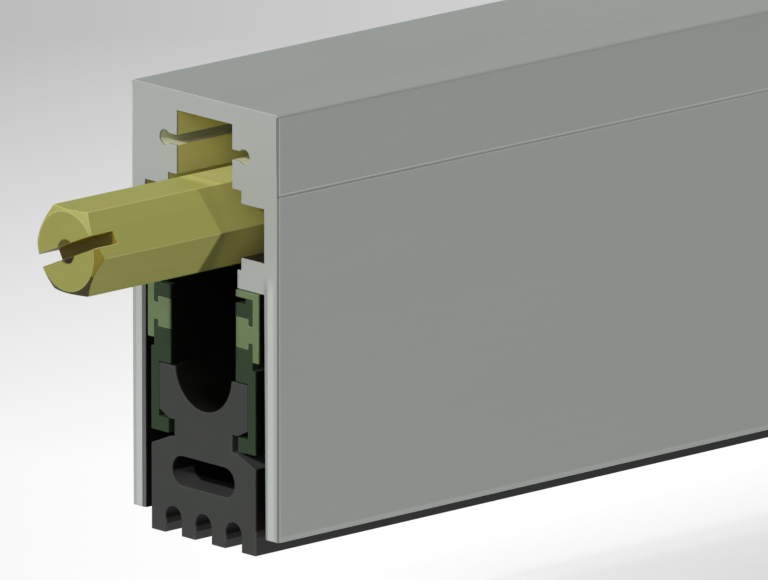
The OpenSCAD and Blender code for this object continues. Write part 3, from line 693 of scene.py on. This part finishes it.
def black_on_seal(tree, half_x, end_gap, z):
    """The seal's painted shade is blackest inside and within the housing, and less so on its sides below.
    """
    middle = under(tree, half_x, throat_x)
    hollow_roof = both(tree, middle, within(tree, z, HOLLOW_MIDDLE, HOLLOW_HIGH))
    hollow = both(tree, middle, within(tree, z, HOLLOW_LOW, HOLLOW_HIGH), over(tree, end_gap, HOLLOW_LIT))
    grooves = both(tree, under(tree, half_x, GROOVES_X), within(tree, z, GROOVE_LOW, GROOVE_HIGH))
    covered = spread(tree, z, housing_low.z - EDGE_STEP, housing_low.z + EDGE_STEP, BELOW_HOUSING, 1.0)
    sides = both(tree, over(tree, half_x, seal_x - WALL_GAP), covered)
    return either(tree, in_throat(tree, half_x, z), hollow_roof, hollow, grooves, sides)


blackened(tree, shader, colour, black_on_seal)
piece(eased(solid_of("seal"), width=0.06 * MM), "rubber_seal", rubber, "carrier", "seal_rubber", "seal")

# Adjusting stud
# A threaded steel stud fixed in the coupling block.
# The plunger turns on it, which sets the drop.
bright = finish_of(
    "bright_steel", drawn, (4.0, 0.4), dark=(0.30, 0.30, 0.29), light=(0.40, 0.40, 0.39),
    edge=(0.52, 0.52, 0.51), roughness=0.34, metallic=0.85)[0]
THREAD_PITCH = 0.7 * MM
THREAD_DEPTH = 0.3 * MM
ROWS_PER_PITCH = 8
STUD_SIDES = 32
FLANK_STEEPNESS = 1.2


def closed(bm):
    """Fills a tube's open ends and turns its faces outwards."""
    bmesh.ops.holes_fill(bm, edges=[edge for edge in bm.edges if edge.is_boundary], sides=0)
    bmesh.ops.recalc_face_normals(bm, faces=bm.faces)
    return bm


# A square of one by one is rolled up into the stud, with the thread winding round it
low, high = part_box("adjusting_stud")
radius = (high.x - low.x) / 2
length = high.y - low.y
bm = bmesh.new()
bmesh.ops.create_grid(bm, x_segments=STUD_SIDES, y_segments=round(length / THREAD_PITCH * ROWS_PER_PITCH),
                      size=0.5)
for vertex in bm.verts:
    turn = vertex.co.x + 0.5
    along = (vertex.co.y + 0.5) * length
    crest = abs((along / THREAD_PITCH - turn) % 1 * 2 - 1)
    from_tip = min(along, length - along)
    thread = radius - THREAD_DEPTH * (1 - min(crest * FLANK_STEEPNESS, 1))
    reach = min(thread, radius - THREAD_DEPTH + from_tip)
    angle = turn * 2 * math.pi
    vertex.co = (reach * math.cos(angle), low.y + along, axis_z + reach * math.sin(angle))
bmesh.ops.remove_doubles(bm, verts=bm.verts, dist=MERGE_GAP)
piece(closed(bm), "threaded_stud", bright, "slider", "bright_steel", "adjusting_stud")

# Pins and rivets
# Turned pins of bright steel, and rivets with rounded heads.
# They join the coupling, the cam plates, the hangers and the rails.
PINS = {"coupling_pin": "slider", "cam_rivets_front": "slider", "cam_rivets_rear": "slider",
        "cross_pin_front": "carrier", "cross_pin_rear": "carrier", "hanger_rivets": "carrier"}


def like_pieces(nodes, ending, material, slot, width, segments=2, mark=1.0):
    """One piece from each node, on the body that is listed for it."""
    for node, body in nodes.items():
        bm = eased(solid_of(node), width, segments, mark)
        piece(bm, node + ending, material, body, slot, node)


like_pieces(PINS, "_turned", bright, "bright_steel", width=0.12 * MM, segments=3, mark=0.4)

# Spring collar
# A turned steel washer, pinned to the drive bars.
# It pushes on the return spring as the plunger goes in.
piece(eased(solid_of("spring_collar"), width=0.1 * MM), "turned_collar", bright, "slider", "bright_steel",
      "spring_collar")

# Drive bars
# Four strips of plated sheet steel in two pairs, which run beside the cam plates' tails.
# They pass the plunger's push on to the cam plates.
plated = finish_of(
    "plated_sheet", skin, (7.0, 0.3), dark=(0.23, 0.24, 0.23), light=(0.32, 0.33, 0.31),
    edge=(0.44, 0.45, 0.43), roughness=0.45, metallic=0.7)[0]
DRIVE_BARS = {"drive_bar_front_left": "slider", "drive_bar_front_right": "slider",
              "drive_bar_middle_left": "slider", "drive_bar_middle_right": "slider"}
like_pieces(DRIVE_BARS, "_strip", plated, "sheet_steel", width=0.06 * MM)

# Cam plates
# Punched steel plates, riveted between the drive bars.
# A slanted slot in each carries its roller down as the plates move back.
CAM_PLATES = {"cam_plate_front": "slider", "cam_plate_rear": "slider"}
like_pieces(CAM_PLATES, "_punched", plated, "sheet_steel", width=0.08 * MM)

# Hangers
# Folded from sheet steel and riveted to the rails.
# Each holds a cross pin, which carries its roller.
HANGERS = {"hanger_front": "carrier", "hanger_rear": "carrier"}
like_pieces(HANGERS, "_folded", plated, "sheet_steel", width=0.1 * MM)

# Zinc castings
# The coupling block, the spring anchor and the guide blocks, with a blasted skin and soft edges.
# The anchor and the guide blocks are held in the housing by its side screws.
zinc = finish_of(
    "cast_zinc", skin, (14.0, 0.5), dark=(0.30, 0.31, 0.32), light=(0.39, 0.40, 0.41),
    edge=(0.50, 0.51, 0.52), roughness=0.55, metallic=0.6, relief=0.6)[0]
CASTINGS = {"coupling_block": "slider", "spring_anchor": "housing",
            "guide_block_front_left": "housing", "guide_block_front_right": "housing",
            "guide_block_rear_left": "housing", "guide_block_rear_right": "housing"}
like_pieces(CASTINGS, "_cast", zinc, "cast_zinc", width=0.1 * MM)

# Return spring
# Round steel wire, wound with a closed coil at each end.
# It shortens against its anchor as the plunger goes in.
wire = finish_of(
    "spring_wire", drawn, (8.0, 0.6), dark=(0.20, 0.20, 0.21), light=(0.27, 0.27, 0.28),
    edge=(0.35, 0.35, 0.36), roughness=0.35, metallic=0.85)[0]
WIRE = 0.7 * MM
WIRE_SIDES = 12
COILS = 14
COIL_GAP = 0.03 * MM
STEPS = 24
low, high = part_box("return_spring")
coil_radius = (high.x - low.x - WIRE) / 2
closed_rise = WIRE + COIL_GAP
open_rise = (high.y - low.y - WIRE - closed_rise * 2) / (COILS - 2)
bm = bmesh.new()
bmesh.ops.create_circle(bm, segments=WIRE_SIDES, radius=WIRE / 2,
                        matrix=Matrix.Translation((coil_radius, low.y + WIRE / 2, axis_z)))
ring = list(bm.verts) + list(bm.edges)
for coils, rise in ((1, closed_rise), (COILS - 2, open_rise), (1, closed_rise)):
    spun = bmesh.ops.spin(bm, geom=ring, cent=(0, 0, axis_z), axis=(0, -1, 0), dvec=(0, rise / STEPS, 0),
                          angle=coils * 2 * math.pi, steps=coils * STEPS)
    ring = spun["geom_last"]
spring = piece(closed(bm), "wound_spring", wire, "housing", "spring_steel", "return_spring")
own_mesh(spring)

# Side screws
# Countersunk socket screws in black oxide.
# They hold the anchor and the guide blocks from the housing's two sides.
oxide = finish_of(
    "black_oxide", skin, (14.0, 0.8), dark=(0.035, 0.036, 0.038), light=(0.06, 0.062, 0.066),
    edge=(0.16, 0.16, 0.17), roughness=0.42, metallic=0.7)[0]
piece(eased(solid_of("side_screws"), width=0.05 * MM), "socket_screws", oxide, "housing", "screw_steel",
      "side_screws")

# Nylon shoes and rollers
# Three moulded shoes carry the slider in the slideway.
# A moulded roller on each cross pin runs in a cam plate's slot.
nylon = finish_of(
    "natural_nylon", skin, (6.0, 0.4), dark=(0.66, 0.65, 0.58), light=(0.74, 0.73, 0.66),
    edge=(0.80, 0.79, 0.73), roughness=0.42)[0]
NYLONS = {"guide_shoe_front": "slider", "guide_shoe_rear": "slider", "guide_shoe_end": "slider",
          "cam_roller_front": "carrier", "cam_roller_rear": "carrier"}
like_pieces(NYLONS, "_moulded", nylon, "nylon", width=0.12 * MM, segments=3)
